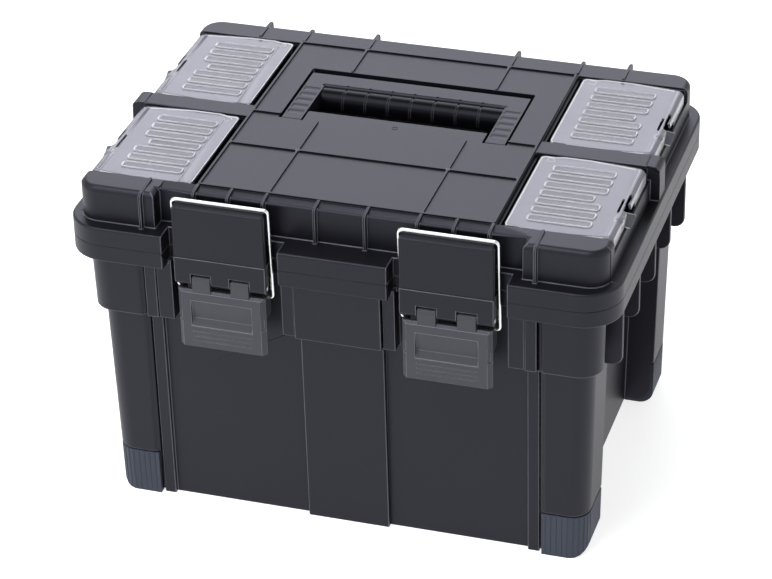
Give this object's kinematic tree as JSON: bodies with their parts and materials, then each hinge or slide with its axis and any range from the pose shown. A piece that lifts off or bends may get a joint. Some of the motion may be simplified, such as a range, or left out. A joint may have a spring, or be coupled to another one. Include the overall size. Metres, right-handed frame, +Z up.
{
  "type": "tool box",
  "caption": "Lidded tool box with a rear-hinged lid, folding carry handle, clear organiser covers over lid bins, corner feet and wire-bail lever latches.",
  "frame": {"origin": "centre of the box's plan, on the floor that it stands on", "axes": "+X to the right of someone facing the latches, +Y towards the rear hinge, +Z up"},
  "size_m": [0.45, 0.3475, 0.2954],
  "materials": {
    "shell": "fine-grained charcoal-black moulded polypropylene",
    "latch": "smoother black moulded plastic",
    "lever": "satin dark grey moulded plastic",
    "foot": "blue-grey, fine upright ribs",
    "wire": "bright plated wire",
    "pin": "plain steel",
    "cover": "clear moulded plastic with ridges",
    "handle": "fine-grained charcoal-black moulded plastic",
    "grip": "smooth black ringed sleeve"
  },
  "bodies": {
    "base": {"base_shell": "shell", "front_left_foot": "foot", "front_right_foot": "foot", "rear_left_foot": "foot", "rear_right_foot": "foot", "left_latch_mount": "latch", "left_lever_pin": "pin", "left_hinge_pin": "pin", "right_latch_mount": "latch", "right_lever_pin": "pin", "right_hinge_pin": "pin"},
    "lid": {"lid_shell": "shell", "left_latch_keeper": "latch", "right_latch_keeper": "latch", "front_left_bin": "shell", "front_right_bin": "shell", "rear_left_bin": "shell", "rear_right_bin": "shell"},
    "handle": {"handle_frame": "handle", "handle_grip": "grip"},
    "front_left_cover": {"front_left_cover": "cover"},
    "front_right_cover": {"front_right_cover": "cover"},
    "rear_left_cover": {"rear_left_cover": "cover"},
    "rear_right_cover": {"rear_right_cover": "cover"},
    "left_lever": {"left_latch_lever": "lever"},
    "left_bail": {"left_latch_bail": "wire"},
    "right_lever": {"right_latch_lever": "lever"},
    "right_bail": {"right_latch_bail": "wire"}
  },
  "joints": [
    {"name": "lid_hinge", "type": "hinge", "parent": "base", "child": "lid", "pos_m": [0, 0.1735, 0.246], "axis": [-1, 0, 0], "range_deg": [0, 105]},
    {"name": "handle_hinge", "type": "hinge", "parent": "lid", "child": "handle", "pos_m": [0, 0.0025, 0.2845], "axis": [1, 0, 0], "range_deg": [0, 90]},
    {"name": "front_left_cover_hinge", "type": "hinge", "parent": "lid", "child": "front_left_cover", "pos_m": [-0.132, -0.07, 0.2845], "axis": [0, 1, 0], "range_deg": [0, 100]},
    {"name": "front_right_cover_hinge", "type": "hinge", "parent": "lid", "child": "front_right_cover", "pos_m": [0.132, -0.07, 0.2845], "axis": [0, -1, 0], "range_deg": [0, 100]},
    {"name": "rear_left_cover_hinge", "type": "hinge", "parent": "lid", "child": "rear_left_cover", "pos_m": [-0.132, 0.07, 0.2845], "axis": [0, 1, 0], "range_deg": [0, 100]},
    {"name": "rear_right_cover_hinge", "type": "hinge", "parent": "lid", "child": "rear_right_cover", "pos_m": [0.132, 0.07, 0.2845], "axis": [0, -1, 0], "range_deg": [0, 100]},
    {"name": "left_lever_hinge", "type": "hinge", "parent": "base", "child": "left_lever", "pos_m": [-0.0925, -0.1638, 0.2255], "axis": [-1, 0, 0], "range_deg": [0, 90]},
    {"name": "left_bail_hinge", "type": "hinge", "parent": "left_lever", "child": "left_bail", "pos_m": [-0.0925, -0.1555, 0.2135], "axis": [-1, 0, 0], "range_deg": [-120, 0]},
    {"name": "right_lever_hinge", "type": "hinge", "parent": "base", "child": "right_lever", "pos_m": [0.0925, -0.1638, 0.2255], "axis": [-1, 0, 0], "range_deg": [0, 90]},
    {"name": "right_bail_hinge", "type": "hinge", "parent": "right_lever", "child": "right_bail", "pos_m": [0.0925, -0.1555, 0.2135], "axis": [-1, 0, 0], "range_deg": [-120, 0]}
  ],
  "couplings": [
    {"joint": "left_bail_hinge", "follows": "left_lever_hinge", "ratio": -1.3},
    {"joint": "right_bail_hinge", "follows": "right_lever_hinge", "ratio": -1.3}
  ]
}
